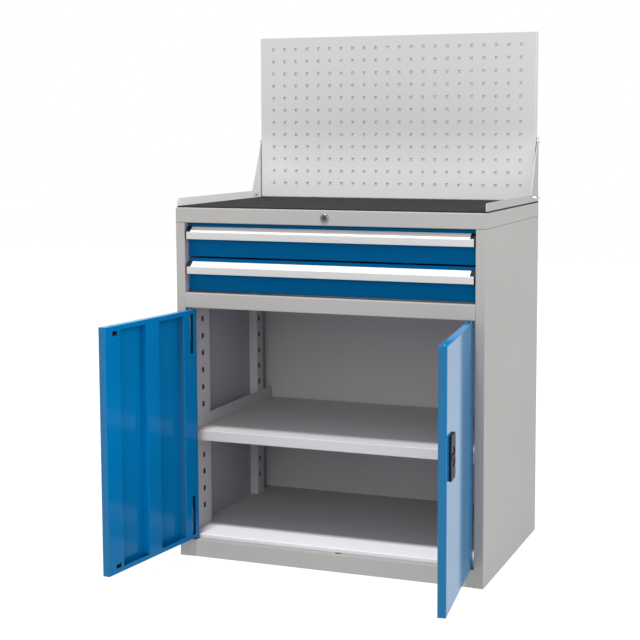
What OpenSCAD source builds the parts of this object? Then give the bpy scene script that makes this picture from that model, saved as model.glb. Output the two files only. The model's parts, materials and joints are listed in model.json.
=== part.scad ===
// Tool cabinet: two drawers over a two-door cupboard, ribbed mat on top, perforated panel behind.
// Millimetres. X to the right, Y to the rear, Z up. The origin is on the floor, at the centre of the base.
// The doors are drawn open, as in the photograph; the drawers and bolts are drawn shut and drawn back.

/* [Body] */
// Outside width of the steel body
body_width = 900; // [860:10:960]
// Outside depth of the steel body
body_depth = 600; // [560:10:660]
// Height of the top cap above the floor
body_height = 1000; // [980:10:1060]
// Thickness of the body sheet
sheet = 1.5; // [1.2:0.1:1.8]
// Width of the front faces beside the doors and drawers
post_width = 27; // [25:1:30]
// Depth of the fold behind each front face
post_return = 22; // [18:1:22]
// Height of the faces folded down from the top
cap_height = 42; // [40:1:46]
// Height of the plinth face under the doors
plinth_height = 50; // [46:1:60]
// Height of the rail between the drawers and the doors
rail_height = 42; // [38:1:46]
// Step from the sill up to the floor pan
floor_step = 10; // [8:1:12]
// Inside radius of every fold
fold_r = 1; // [0.8:0.1:1.4]
// Width of the folds along the rear edges of the sides
rear_fold = 22; // [18:1:26]
// Width of the lip folded inwards under the top
cap_lip = 18; // [16:1:20]
// Depth of the sill above the plinth
sill_depth = 30; // [28:1:32]
// Depth of the rail's upper fold
rail_depth = 38; // [36:1:40]

/* [Mat] */
// Thickness of the ribbed mat
mat_thick = 4; // [3:0.5:5]
// Distance of the mat behind the front face
mat_setback = 10; // [8:1:14]
// Distance between two ribs
rib_pitch = 6; // [6:0.5:8]
// Depth of the grooves between the ribs
groove_depth = 1.2; // [0.8:0.1:1.4]

/* [Side upstands and perforated panel] */
// Height of the upstands above the mat
upstand_height = 22; // [18:1:26]
// Height of the rear gussets above the mat
gusset_height = 191; // [160:1:220]
// Length of the gussets where they leave the upstands
gusset_length = 85; // [70:1:100]
// Gap between the mat and the lowest edge of the panel
panel_gap = 1; // [1:1:8]
// Height of the perforated panel
panel_height = 499; // [490:1:510]
// Height of the middle of the hole field above the mat
holes_middle = 254; // [250:1:258]
// Room behind the perforated sheet for the tongue of a hook
hook_room = 4; // [3.5:0.5:6]
// Depth of the folds behind the panel
panel_flange = 20; // [17:1:24]
// Distance between two hooking holes, both ways
hole_pitch = 38; // [37:0.5:38]
// Width of one square hooking hole
hole_size = 9.2; // [8:0.2:11]
// Number of holes in a row
hole_columns = 22; // [18:1:22]
// Number of rows
hole_rows = 12; // [10:1:12]

/* [Drawers] */
// Height given to one drawer
drawer_pitch = 98; // [96:1:104]
// Gap around a drawer front
front_gap = 2; // [1.5:0.5:2.5]
// Extra gap under the front of a drawer
front_foot = 2.5; // [1:0.5:3]
// Distance of the drawer fronts behind the body face
front_recess = 20; // [18:1:20]
// Length of the drawer boxes
drawer_length = 500; // [480:10:500]
// Width of the folds along the upper edges of the drawer boxes
box_hem = 7; // [6:0.5:9]
// Sheet of the drawer boxes
box_sheet = 1.2; // [1:0.1:1.5]
// Width of one telescopic slide
slide_width = 12.7; // [12.7:0.1:13.2]
// Height of the cabinet member of a slide
slide_height = 45; // [43:0.5:46]
// Sheet of the slide members
slide_sheet = 1.2; // [1:0.1:1.3]
// Height of the bright grip face
grip_face = 20; // [18:1:22]
// Height of the sloped strip above the grip face
grip_slope = 14; // [12:1:16]
// Blue strip left above the grip
grip_drop = 10; // [9:1:12]
// Wall of the grip extrusion
grip_wall = 1.8; // [1.5:0.1:2.2]

/* [Doors] */
// Thickness of a door
door_thick = 22; // [21:0.5:22]
// Gap between a post and its door
door_side_gap = 2.5; // [2.5:0.1:3]
// Gap between the two doors
door_mid_gap = 3; // [3:0.5:5]
// Gap above the doors
door_top_gap = 5; // [4:0.5:6]
// Gap under the doors
door_foot_gap = 6; // [5:0.5:6]
// Distance of the hinge axis from the edge of the door
pivot_in = 9; // [8.5:0.5:9]
// Distance of the hinge axis behind the face of the door
pivot_back = 6; // [6:0.5:6.5]
// Opening angle of the left door in the drawn pose
left_open = 97; // [90:1:98]
// Opening angle of the right door in the drawn pose
right_open = 97; // [90:1:98]
// Width of the fold along the free edge of the left door
free_flange = 64; // [58:1:68]
// Width of the fold along the hinge edge
hinge_flange = 65; // [58:1:68]
// Width of the upright channel inside a door
stiffener_width = 60; // [50:1:64]
// Distance of that channel from the free edge
stiffener_inset = 178; // [172:1:184]
// Diameter of the hinge pins
pin_d = 6; // [5.6:0.2:6.4]
// Diameter of the slide bolts of the left door
bolt_d = 8; // [7:0.5:8]
// Width of the flat lock rods of the right door
rod_width = 12; // [10:0.5:13]
// Thickness of the flat lock rods
rod_thick = 3; // [2.5:0.1:3]
// Width of the lock plate on the right door
plate_width = 60; // [56:1:64]
// Height of the lock plate
plate_height = 112; // [100:1:116]
// Height of the lock plate above the door face
plate_proud = 6; // [6:0.5:8]

/* [Uprights and shelf] */
// Distance between two shelf slots
slot_pitch = 50; // [50:1:50]
// Number of shelf slots in an upright
slot_count = 12; // [9:1:12]
// Width of a shelf slot
slot_width = 13; // [10:0.5:14]
// Height of a shelf slot
slot_height = 15; // [14:0.5:17]
// Slot that carries the shelf, counted from the floor
shelf_slot = 5; // [3:1:8]
// Height of the folded shelf edge
shelf_lip = 30; // [26:1:34]
// Thickness of the shelf bars
bar_thick = 1.8; // [1.5:0.1:2]
// Width of the foot that a shelf bar holds under the shelf
bar_foot = 26; // [22:1:30]
// Height of a shelf bar above the shelf
bar_rise = 36; // [32:1:40]
// Depth of a front upright
upright_front_depth = 125; // [115:1:130]
// Depth of a rear upright
upright_rear_depth = 47; // [42:1:52]
// Width of the channel under the shelf
rib_width = 80; // [70:2:90]
// Height of that channel
rib_height = 22; // [18:1:24]

/* [Fits] */
// Radial clearance of a pin or rod that turns or slides in a hole
run_clear = 0.05; // [0.03:0.01:0.09]
// Clearance on each side of a flat part in a slot
slot_clear = 0.5; // [0.4:0.1:0.8]

/* [Finishes] */
// Paint of the body
body_paint = [0.73, 0.73, 0.71];
// Paint of the panel and its upstands
panel_paint = [0.80, 0.82, 0.83];
// Paint of the drawer fronts
front_paint = [0.0, 0.29, 0.5];
// Paint of the doors
door_paint = [0.0, 0.38, 0.64];

/* [Hidden] */
$fn = 96;
fold_fn = 32;
half_w = body_width / 2;
front_y = -body_depth / 2;
rear_y = body_depth / 2;
inner_x = half_w - sheet;
post_x = half_w - post_width;
post_top = body_height - cap_height;
upper_z = post_top - drawer_pitch;
lower_z = post_top - 2 * drawer_pitch;
rail_top = lower_z - front_gap;
rail_foot = rail_top - rail_height;
foot_fold = 25;
rear_lip = 35;
floor_top = plinth_height + floor_step;
floor_front = front_y + sill_depth - 5;
floor_rear = rear_y - 2 * sheet;
front_height = drawer_pitch - front_gap;
front_face = front_y + front_recess;
front_half = post_x - front_gap;
front_tray = 8;
grip_y = front_y + 1;
grip_high = grip_face + grip_slope;
door_width = post_x - door_side_gap - door_mid_gap / 2;
door_foot = plinth_height + door_foot_gap;
door_top = rail_foot - door_top_gap;
door_lip = 13;
pivot_x = post_x - door_side_gap - pivot_in;
pivot_y = front_y + pivot_back;
inside_v = door_thick - sheet;
pin_r = pin_d / 2;
bolt_r = bolt_d / 2;
bolt_inset = 41;
bolt_u = door_width - bolt_inset;
bolt_v = 11;
rod_inset = 30;
rod_u = door_width - rod_inset;
rod_a_v = 11.5;
rod_b_v = rod_a_v + rod_thick + 1;
lock_u = door_width - 31 - plate_width / 2;
lock_z = door_foot + 380;
pin_throw = 9.9;
pin_reach = pin_throw * cos(45);
upright_front_y = front_y + 27;
upright_rear_y = rear_y - 118;
upright_top = rail_foot - 2;
slot_front_y = upright_front_y + 78;
slot_rear_y = upright_rear_y + 16;
first_slot = floor_top + 63;
slots = min(slot_count, 1 + floor((upright_top - slot_height - first_slot) / slot_pitch));
shelf_z = first_slot + shelf_slot * slot_pitch - 16;
shelf_half = post_x - bar_thick - 0.5;
shelf_front_y = front_y + 50;
shelf_rear_y = rear_y - 12;
hook_height = 10;
bracket_x = post_x - sheet;
bracket_gap = 4;
box_half = post_x - sheet - slide_width - 0.1;
box_foot = 6;
box_height = drawer_pitch - 20;
slide_len = drawer_length;
slide_y = front_face + 12;
slide_rise = 44;
mat_top = body_height + mat_thick;
panel_face = rear_y - panel_flange - 3;
panel_edge = half_w - 5.5;
panel_z = mat_top + panel_gap;
stand_x = half_w - 1;
lock_axis_z = body_height - cap_height / 2;
bolt_places = [
    [rear_y - 9.6, mat_top + gusset_height - 14],
    [rear_y - 9.6, panel_z + sheet + 8],
    [rear_y - 62, mat_top + 12]
];

// A box given by its two ends along each axis
module slab(x0, x1, y0, y1, z0, z1) {
    translate([x0, y0, z0]) cube([x1 - x0, y1 - y0, z1 - z0]);
}

// An upright round bar
module bar_z(x, y, r, z0, z1) {
    translate([x, y, z0]) cylinder(h = z1 - z0, r = r);
}

// A round bar along Y
module bar_y(x, z, r, y0, y1) {
    translate([x, y1, z]) rotate([90, 0, 0]) cylinder(h = y1 - y0, r = r);
}

// A round bar along X
module bar_x(y, z, r, x0, x1) {
    translate([x0, y, z]) rotate([0, 90, 0]) cylinder(h = x1 - x0, r = r);
}

// A flat profile in Y and Z, drawn out along X
module along_x(x0, x1) {
    translate([x0, 0, 0]) rotate([90, 0, 90]) linear_extrude(height = x1 - x0) children();
}

// A flat profile in X and Z, drawn out along Y
module along_y(y0, y1) {
    translate([0, y1, 0]) rotate([90, 0, 0]) linear_extrude(height = y1 - y0) children();
}

// A flat profile in X and Y, drawn out upwards
module along_z(z0, z1) {
    translate([0, 0, z0]) linear_extrude(height = z1 - z0) children();
}

// A turned part: a profile of radius and height, its axis along Y, its foot at y
module turned_y(x, y, z) {
    translate([x, y, z]) rotate([-90, 0, 0]) rotate_extrude() children();
}

// A rounded rectangle
module round_rect(w, h, r) {
    square([w - 2 * r, h], center = true);
    square([w, h - 2 * r], center = true);
    for (i = [-1, 1]) {
        for (j = [-1, 1]) {
            translate([i * (w / 2 - r), j * (h / 2 - r)]) circle(r = r, $fn = 48);
        }
    }
}

// The section of one fold: a quarter ring
module fold_quarter(thick) {
    intersection() {
        difference() {
            circle(r = fold_r + thick, $fn = fold_fn);
            circle(r = fold_r, $fn = fold_fn);
        }
        square([fold_r + thick, fold_r + thick]);
    }
}

// The section of a folded sheet, drawn as legs along its middle with a fold between each two;
// a turn of 1 folds to the left of the way drawn so far and -1 folds to the right
module folded(legs, turns, thick = sheet, i = 0) {
    bend = fold_r + thick / 2;
    start = i > 0 ? bend : 0;
    end = i < len(legs) - 1 ? legs[i] - bend : legs[i];
    translate([start, -thick / 2]) square([end - start, thick]);
    if (i < len(legs) - 1) {
        translate([legs[i] - bend, turns[i] * bend]) mirror([0, turns[i] + 1]) fold_quarter(thick);
        translate([legs[i], 0]) rotate(90 * turns[i]) folded(legs, turns, thick, i + 1);
    }
}

// A block whose edges along X and Y are rounded, the outside or inside of a folded tray
module tray_block(x0, x1, y0, y1, z0, z1, r) {
    intersection() {
        along_y(y0, y1) translate([(x0 + x1) / 2, (z0 + z1) / 2]) round_rect(x1 - x0, z1 - z0, r);
        along_x(x0, x1) translate([(y0 + y1) / 2, (z0 + z1) / 2]) round_rect(y1 - y0, z1 - z0, r);
    }
}

// The same with the edges along X and Z rounded, for doors, fronts and the panel
module door_block(x0, x1, y0, y1, z0, z1, r) {
    intersection() {
        along_z(z0, z1) translate([(x0 + x1) / 2, (y0 + y1) / 2]) round_rect(x1 - x0, y1 - y0, r);
        along_x(x0, x1) translate([(y0 + y1) / 2, (z0 + z1) / 2]) round_rect(y1 - y0, z1 - z0, r);
    }
}

// Side panel: face fold, its return and the rear fold in one section, and a foot angle inside
module side_panel() {
    t = sheet;
    along_z(0, post_top)
    translate([-post_x - t / 2, front_y + post_return]) rotate(-90)
    folded([post_return - t / 2, post_width - t, body_depth - t, rear_fold - t / 2], [-1, -1, -1]);
    along_y(front_y + 3, rear_y - 3)
    translate([-inner_x + sheet / 2, 20]) rotate(-90)
    folded([20 - sheet / 2, foot_fold - 1.5 * sheet], [1]);
}

module side_panel_left() {
    color(body_paint) side_panel();
}

module side_panel_right() {
    color(body_paint) mirror([1, 0, 0]) side_panel();
}

// Back sheet inside the rear folds, folded forward at its top and foot
module back_panel() {
    foot = 20;
    depth = 15;
    color(body_paint) along_x(-inner_x + 2, inner_x - 2)
    translate([rear_y - depth, foot + sheet / 2])
    folded([depth - 1.5 * sheet, post_top - 1 - foot - sheet, depth - 1.5 * sheet], [1, 1]);
}

// Top cap: a tray turned upside down, its lip resting on the posts
module top_cap() {
    color(body_paint) difference() {
        tray_block(-half_w, half_w, front_y, rear_y, post_top, body_height, fold_r + sheet);
        tray_block(
            -inner_x, inner_x, front_y + sheet, rear_y - sheet, post_top + sheet, body_height - sheet, fold_r
        );
        slab(-post_x, post_x, front_y + cap_lip, rear_y - cap_lip, post_top - 1, post_top + 2 * sheet);
        bar_y(0, lock_axis_z, 9.5, front_y - 1, front_y + 5);
    }
}

// Ribbed mat, ribs running front to back
module rubber_mat() {
    mat_half = half_w - 0.5;
    ribs = floor((2 * mat_half - 4) / rib_pitch);
    color([0.27, 0.27, 0.27]) along_y(front_y + mat_setback, rear_y - 1) translate([0, body_height])
    difference() {
        translate([-mat_half, 0]) square([2 * mat_half, mat_thick]);
        for (i = [0 : ribs - 1]) {
            translate([(i - (ribs - 1) / 2) * rib_pitch, mat_thick])
            square([rib_pitch / 2, 2 * groove_depth], center = true);
        }
    }
}

// Rail between drawers and doors, with the holes for hinge pins, bolt and lock rod
module divider_rail() {
    color(body_paint) difference() {
        along_x(-post_x, post_x)
        translate([front_y + sill_depth, rail_foot + sheet / 2]) rotate(180)
        folded([sill_depth - sheet / 2, rail_height - sheet, rail_depth - sheet, 12], [-1, -1, -1]);
        keeper_holes(rail_foot - 1, rail_foot + 3);
    }
}

// Holes that take the pins, the bolt and the rod of the two doors
module keeper_holes(z0, z1) {
    rod_x = door_mid_gap / 2 + rod_inset;
    rod_y = front_y + (rod_a_v + rod_b_v + rod_thick) / 2;
    for (side = [-1, 1]) {
        bar_z(side * pivot_x, pivot_y, pin_r + run_clear, z0, z1);
    }
    bar_z(-door_mid_gap / 2 - bolt_inset, front_y + bolt_v, bolt_r + slot_clear, z0, z1);
    along_z(z0, z1) translate([rod_x, rod_y]) round_rect(rod_width + 6, rod_b_v - rod_a_v + rod_thick + 3, 2);
}

// Floor of the cupboard: riser behind the sill, floor, and folds down along the sides
module floor_pan() {
    color(body_paint) {
        along_x(-inner_x + 3, inner_x - 3)
        translate([floor_front + sheet / 2, plinth_height]) rotate(90)
        folded([floor_step - sheet / 2, floor_rear - floor_front - sheet / 2], [-1]);
        along_y(floor_front + 3, floor_rear)
        translate([-inner_x + sheet / 2, floor_top - 20]) rotate(90)
        folded([20 - sheet / 2, 2 * inner_x - sheet, 20 - sheet / 2], [-1, -1]);
    }
}

// Channel under the middle of the floor pan, which stands on the ground
module floor_brace() {
    flange = 20;
    high = floor_top - 2 * sheet;
    color(body_paint) along_y(front_y + sill_depth + 1, rear_y - foot_fold - rear_lip - 1)
    translate([-flange - 30, floor_top - 1.5 * sheet])
    folded([flange + sheet / 2, high, 60 - sheet, high, flange + sheet / 2], [-1, 1, 1, -1]);
}

// Plinth face with its foot and the sill
module plinth_front() {
    color(body_paint) difference() {
        along_x(-post_x, post_x)
        translate([front_y + 20, sheet / 2]) rotate(180)
        folded([20 - sheet / 2, plinth_height - sheet, sill_depth - sheet / 2], [-1, -1]);
        keeper_holes(plinth_height - 3, plinth_height + 1);
    }
}

// Rear foot channel under the floor pan
module plinth_rear() {
    color(body_paint) along_x(-half_w + foot_fold, half_w - foot_fold)
    translate([rear_y - foot_fold, sheet / 2]) rotate(180)
    folded([rear_lip - sheet / 2, floor_top - 2 * sheet, foot_fold - sheet / 2], [-1, -1]);
}

// The outline of one shelf slot
module slot_outline() {
    square([slot_width, slot_height], center = true);
}

// Slotted upright: a channel open to the side panel, with its row of slots
module upright(y0, depth, slot_y) {
    side = post_width - 1.5 * sheet;
    difference() {
        along_z(floor_top, upright_top)
        translate([-inner_x, y0 + sheet / 2])
        folded([side, depth - sheet, side], [1, 1]);
        for (k = [0 : slots - 1]) {
            along_x(-post_x - 3, -post_x + 1) translate([slot_y, first_slot + k * slot_pitch]) slot_outline();
        }
    }
}

module front_upright_left() {
    color(body_paint) upright(upright_front_y, upright_front_depth, slot_front_y);
}

module front_upright_right() {
    color(body_paint) mirror([1, 0, 0]) upright(upright_front_y, upright_front_depth, slot_front_y);
}

module rear_upright_left() {
    color(body_paint) upright(upright_rear_y, upright_rear_depth, slot_rear_y);
}

module rear_upright_right() {
    color(body_paint) mirror([1, 0, 0]) upright(upright_rear_y, upright_rear_depth, slot_rear_y);
}

// Channel on the side panel that carries the slides of both drawers
module runner_bracket() {
    side = inner_x - bracket_x - sheet / 2;
    along_y(front_y + 24, shelf_rear_y)
    translate([-inner_x, lower_z + bracket_gap + sheet / 2])
    folded([side, 2 * drawer_pitch - 2 * bracket_gap - sheet, side], [1, 1]);
}

module runner_bracket_left() {
    color(body_paint) runner_bracket();
}

module runner_bracket_right() {
    color(body_paint) mirror([1, 0, 0]) runner_bracket();
}

// Both slides of one drawer; x runs from the bracket to the drawer
module slide_pair(z) {
    color([0.72, 0.73, 0.75]) for (side = [0, 1]) {
        mirror([side, 0, 0]) translate([-bracket_x, 0, z]) children();
    }
}

// Cabinet members: a channel whose lips hold the balls of the middle member
module cabinet_slides(z) {
    t = slide_sheet;
    width = slide_width - 2 * t;
    slide_pair(z) along_y(slide_y, slide_y + slide_len)
    translate([slide_width - 1.5 * t, 4 - slide_height / 2]) rotate(-90)
    folded([4 - t / 2, width, slide_height - t, width, 4 - t / 2], [-1, -1, -1, -1], t);
}

// Middle members, each with the strips that stand in for its two rows of balls
module mid_slides(z) {
    t = slide_sheet;
    half_h = slide_height / 2 - 3.5;
    slide_pair(z) {
        along_y(slide_y + 4, slide_y + slide_len - 6)
        translate([slide_width - 2.7, t / 2 - half_h]) rotate(180)
        folded([slide_width - 5.9, 2 * half_h - t, slide_width - 5.9], [-1, -1], t);
        for (up = [-1, 1]) {
            along_y(slide_y + slide_len / 2, slide_y + slide_len - 20)
            translate([6.5, up * (half_h + 1.1)]) square([5, 2.3], center = true);
            along_y(slide_y + 20, slide_y + slide_len / 2)
            translate([7.6, up * (half_h - 2.8)]) square([4.4, 3.3], center = true);
        }
    }
}

// Drawer members, screwed to the sides of the drawer box
module drawer_slides(z) {
    t = slide_sheet;
    half_h = slide_height / 2 - 8;
    slide_pair(z) along_y(slide_y, slide_y + slide_len - 12)
    translate([5.2, t / 2 - half_h])
    folded([slide_width - 5.1 - t / 2, 2 * half_h - t, slide_width - 5.1 - t / 2], [1, 1], t);
}

module upper_cabinet_slides() {
    cabinet_slides(upper_z + slide_rise);
}

module lower_cabinet_slides() {
    cabinet_slides(lower_z + slide_rise);
}

module upper_mid_slides() {
    mid_slides(upper_z + slide_rise);
}

module lower_mid_slides() {
    mid_slides(lower_z + slide_rise);
}

module upper_drawer_slides() {
    drawer_slides(upper_z + slide_rise);
}

module lower_drawer_slides() {
    drawer_slides(lower_z + slide_rise);
}

// Drawer box: a folded tray with a hem along each side
module drawer_box(z) {
    y0 = front_face + sheet;
    y1 = y0 + drawer_length;
    foot = z + box_foot;
    top = foot + box_height;
    t = box_sheet;
    color(body_paint) difference() {
        tray_block(-box_half, box_half, y0, y1, foot, top, fold_r + t);
        tray_block(-box_half + t, box_half - t, y0 + t, y1 - t, foot + t, top - t, fold_r);
        slab(-box_half + box_hem, box_half - box_hem, y0 + t, y1 - t, top - 3 * t, top + 1);
    }
}

// Drawer front: a shallow tray behind the blue face
module drawer_front(z) {
    y = front_face;
    foot = z + front_foot;
    top = z + front_height;
    color(front_paint) difference() {
        door_block(-front_half, front_half, y, y + 2 * front_tray, foot, top, fold_r + sheet);
        door_block(
            -front_half + sheet, front_half - sheet, y + sheet, y + 2 * front_tray + 5,
            foot + sheet, top - sheet, fold_r
        );
        slab(-half_w, half_w, y + front_tray, y + 3 * front_tray, z - 1, z + front_height + 1);
    }
}

// Section of the grip, from the bright face up the slope to the flange on the front
module grip_section() {
    w = grip_wall;
    polygon([
        [grip_y, 0], [grip_y, grip_face - 1.5], [grip_y + 1, grip_face], [front_face - w, grip_high],
        [front_face, grip_high], [front_face, grip_high - 10], [front_face - w, grip_high - 10],
        [front_face - w, grip_high - w * 1.35], [grip_y + w, grip_face - w * 0.55],
        [grip_y + w, w], [grip_y + 2.8, w], [grip_y + 2.8, 0]
    ]);
}

module drawer_grip(z) {
    base = z + front_height - grip_drop - grip_high;
    color([0.85, 0.86, 0.87]) translate([0, 0, base])
    along_x(-front_half + 3, front_half - 3) grip_section();
}

// Black end caps: an end plate and a patch over the end of the slope
module drawer_grip_caps(z) {
    base = z + front_height - grip_drop - grip_high;
    color([0.03, 0.03, 0.03]) for (side = [0, 1]) {
        mirror([side, 0, 0]) translate([0, 0, base]) {
            along_x(-front_half, -front_half + 3)
            polygon([
                [grip_y, 0], [grip_y, grip_face], [front_face - grip_wall, grip_high],
                [front_face, grip_high], [front_face, 0]
            ]);
            along_x(-front_half, -front_half + 14)
            polygon([
                [grip_y + 1, grip_face], [grip_y + 1.5, grip_face + 2],
                [front_face - grip_wall, grip_high + 1.2], [front_face, grip_high + 1.2],
                [front_face, grip_high], [front_face - grip_wall, grip_high]
            ]);
        }
    }
}

module upper_drawer_box() {
    drawer_box(upper_z);
}

module lower_drawer_box() {
    drawer_box(lower_z);
}

module upper_drawer_front() {
    drawer_front(upper_z);
}

module lower_drawer_front() {
    drawer_front(lower_z);
}

module upper_grip() {
    drawer_grip(upper_z);
}

module lower_grip() {
    drawer_grip(lower_z);
}

module upper_grip_caps() {
    drawer_grip_caps(upper_z);
}

module lower_grip_caps() {
    drawer_grip_caps(lower_z);
}

// Catch folded from strip on the upper drawer box, behind which the turned cam stands
module upper_lock_catch() {
    y0 = front_face + sheet + box_sheet;
    top = upper_z + box_foot + box_height;
    reach = front_y + rail_depth - y0 - sheet;
    color([0.72, 0.73, 0.75]) along_x(-14, 14)
    translate([y0 + sheet / 2, top - 20]) rotate(90)
    folded([20 - sheet / 2, reach, post_top - 1 - top + sheet / 2], [-1, 1]);
}

// Cylinder lock in the face of the top cap: a turned barrel with a bevelled collar
module lock_barrel() {
    bore = 7 + run_clear;
    color([0.8, 0.81, 0.82]) turned_y(0, front_y, lock_axis_z)
    polygon([
        [bore, -2.8], [bore + 1, -3.5], [10.8, -3.5], [12, -2.3], [12, 0], [9.4, 0],
        [9.4, 25], [8.4, 26], [bore, 26]
    ]);
}

// Six-sided nut that holds the barrel from behind the face
module lock_nut() {
    color([0.72, 0.73, 0.75]) difference() {
        intersection() {
            along_y(front_y + sheet, front_y + sheet + 4) translate([0, lock_axis_z]) circle(r = 14, $fn = 6);
            turned_y(0, front_y + sheet, lock_axis_z) polygon([[0, 0], [14, 0], [14, 3], [13, 4], [0, 4]]);
        }
        bar_y(0, lock_axis_z, 9.4, front_y, front_y + 10);
    }
}

// Plug with the key slot in a shallow dish
module lock_plug() {
    color([0.8, 0.81, 0.82]) difference() {
        turned_y(0, front_y - 3.2, lock_axis_z)
        polygon([[0, 0.6], [4.5, 0.6], [5.4, 0], [6.4, 0], [7, 0.6], [7, 33.2], [0, 33.2]]);
        slab(-0.9, 0.9, front_y - 4, front_y + 12, lock_axis_z - 4, lock_axis_z + 4);
    }
}

// Cam on the rear end of the plug, level in the unlocked pose
module lock_cam() {
    color([0.72, 0.73, 0.75]) along_y(front_y + 30, front_y + 33) translate([0, lock_axis_z]) {
        circle(r = 7.5);
        translate([0, -5]) square([23, 10]);
        translate([23, 0]) circle(r = 5);
    }
}

// Upstand on the mat with the rear gusset that holds the panel
module side_upstand() {
    y0 = front_y + 8;
    y1 = rear_y - 3;
    top = mat_top + upstand_height;
    r = upstand_height * 0.45;
    color(panel_paint) difference() {
        along_x(-stand_x, -stand_x + sheet) difference() {
            polygon([
                [y0, mat_top], [y0, top], [y1 - gusset_length, top],
                [y1 - 7, mat_top + gusset_height], [y1, mat_top + gusset_height], [y1, mat_top]
            ]);
            difference() {
                translate([y0 - 1, top - r]) square(r + 1);
                translate([y0 + r, top - r]) circle(r = r);
            }
        }
        for (p = bolt_places) {
            bar_x(p[0], p[1], 3.05, -half_w, -half_w + 3);
        }
    }
}

module side_upstand_left() {
    side_upstand();
}

module side_upstand_right() {
    mirror([1, 0, 0]) side_upstand();
}

// The square hooking holes, in rows and columns about the middle of the panel
module hook_holes() {
    for (i = [0 : hole_columns - 1]) {
        for (j = [0 : hole_rows - 1]) {
            translate([(i - (hole_columns - 1) / 2) * hole_pitch, (j - (hole_rows - 1) / 2) * hole_pitch])
            square([hole_size, hole_size], center = true);
        }
    }
}

// Perforated panel: a tray open to the rear, its face perforated
module perforated_panel() {
    y = panel_face;
    x = panel_edge;
    z0 = panel_z;
    z1 = panel_z + panel_height;
    rim = 10;
    color(panel_paint) {
        difference() {
            door_block(-x, x, y, y + 2 * panel_flange, z0, z1, fold_r + sheet);
            door_block(
                -x + sheet, x - sheet, y + sheet, y + 2 * panel_flange + 5, z0 + sheet, z1 - sheet, fold_r
            );
            slab(-half_w, half_w, y + panel_flange, y + 3 * panel_flange, z0 - 1, z1 + 1);
            slab(-x + rim, x - rim, y - 1, y + 5, z0 + rim, z1 - rim);
            for (side = [0, 1]) {
                mirror([side, 0, 0]) for (i = [0, 1]) {
                    bar_x(bolt_places[i][0], bolt_places[i][1], 3.05, -half_w, -half_w + 12);
                }
            }
        }
        along_y(y, y + sheet) difference() {
            translate([0, (z0 + z1) / 2]) square([2 * (x - rim), panel_height - 2 * rim], center = true);
            translate([0, mat_top + holes_middle]) hook_holes();
        }
    }
}

// Backing sheet between the panel's folds, seen grey through the holes
module panel_back() {
    x = panel_edge - sheet;
    y = panel_face + sheet + hook_room;
    color(panel_paint) slab(-x, x, y, y + 1.2, panel_z + sheet, panel_z + panel_height - sheet);
}

// One bolt, its turned head outside at x = 0 and its nut at the given distance inside
module panel_bolt(nut) {
    rotate([0, 90, 0]) rotate_extrude()
    polygon([
        [0, -9], [2, -8.6], [3.8, -7.2], [4.6, -5.2], [4.6, -1.4], [6, -1.2], [6, 0],
        [3, 0], [3, nut + 6], [2.5, nut + 6.5], [0, nut + 6.5]
    ]);
    translate([nut, 0, 0]) rotate([0, 90, 0]) cylinder(h = 5, r = 6.5, $fn = 6);
}

// Bolts through gusset and panel, and through gusset and mat edge
module panel_bolts() {
    color([0.8, 0.81, 0.82]) for (side = [0, 1]) {
        mirror([side, 0, 0]) for (p = bolt_places) {
            nut = p[0] > rear_y - panel_flange ? stand_x - panel_edge + sheet : sheet;
            translate([-stand_x, p[0], p[1]]) panel_bolt(nut);
        }
    }
}

// Shelf: a tray turned upside down with a lip all round
module shelf() {
    x = shelf_half;
    z0 = shelf_z - shelf_lip;
    lip = 14;
    color(body_paint) difference() {
        tray_block(-x, x, shelf_front_y, shelf_rear_y, z0, shelf_z, fold_r + sheet);
        tray_block(
            -x + sheet, x - sheet, shelf_front_y + sheet, shelf_rear_y - sheet,
            z0 + sheet, shelf_z - sheet, fold_r
        );
        slab(-x + lip, x - lip, shelf_front_y + lip, shelf_rear_y - lip, z0 - 1, z0 + 2 * sheet);
    }
}

// Channel under the middle of the shelf
module shelf_stiffener() {
    x = shelf_half - sheet;
    side = rib_height - 1.5 * sheet;
    color(body_paint) along_x(-x + 2, x - 2)
    translate([sheet / 2 - rib_width / 2, shelf_z - sheet]) rotate(-90)
    folded([side, rib_width - sheet, side], [1, 1]);
}

// Bar that hooks into the slots and carries one side of the shelf on its folded foot
module shelf_bar() {
    y0 = shelf_front_y + 2;
    foot = shelf_z - shelf_lip - bar_thick;
    top = shelf_z + bar_rise;
    t = bar_thick;
    hook_tip = -post_x - 2 * sheet - 1.5;
    hook_z = shelf_z + 12;
    color(body_paint) {
        intersection() {
            along_y(y0, shelf_rear_y) translate([t / 2 - post_x, top]) rotate(-90)
            folded([top - foot - t / 2, bar_foot - t / 2], [1], t);
            along_x(-half_w, half_w)
            polygon([
                [y0, foot], [y0, top - bar_rise + 6], [y0 + 22, top],
                [shelf_rear_y, top], [shelf_rear_y, foot]
            ]);
        }
        for (y = [slot_front_y, slot_rear_y]) {
            slab(hook_tip, -post_x + t, y - 3, y + 3, hook_z, hook_z + hook_height);
        }
    }
}

module shelf_bar_left() {
    shelf_bar();
}

module shelf_bar_right() {
    mirror([1, 0, 0]) shelf_bar();
}

// Door frame: u from the hinge edge, v from the outer face, drawn shut; then turned open about the hinge
module place_left(angle) {
    translate([-pivot_x, pivot_y, 0]) rotate([0, 0, -angle])
    translate([-pivot_in, -pivot_back, 0]) children();
}

module place_right(angle) {
    mirror([1, 0, 0]) place_left(angle) children();
}

// A round-cornered opening in the inside sheet of a door
module door_window(u0, u1, z0, z1) {
    along_y(inside_v - 1, door_thick + 1) translate([(u0 + u1) / 2, (z0 + z1) / 2])
    round_rect(u1 - u0, z1 - z0, 1.5);
}

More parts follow.
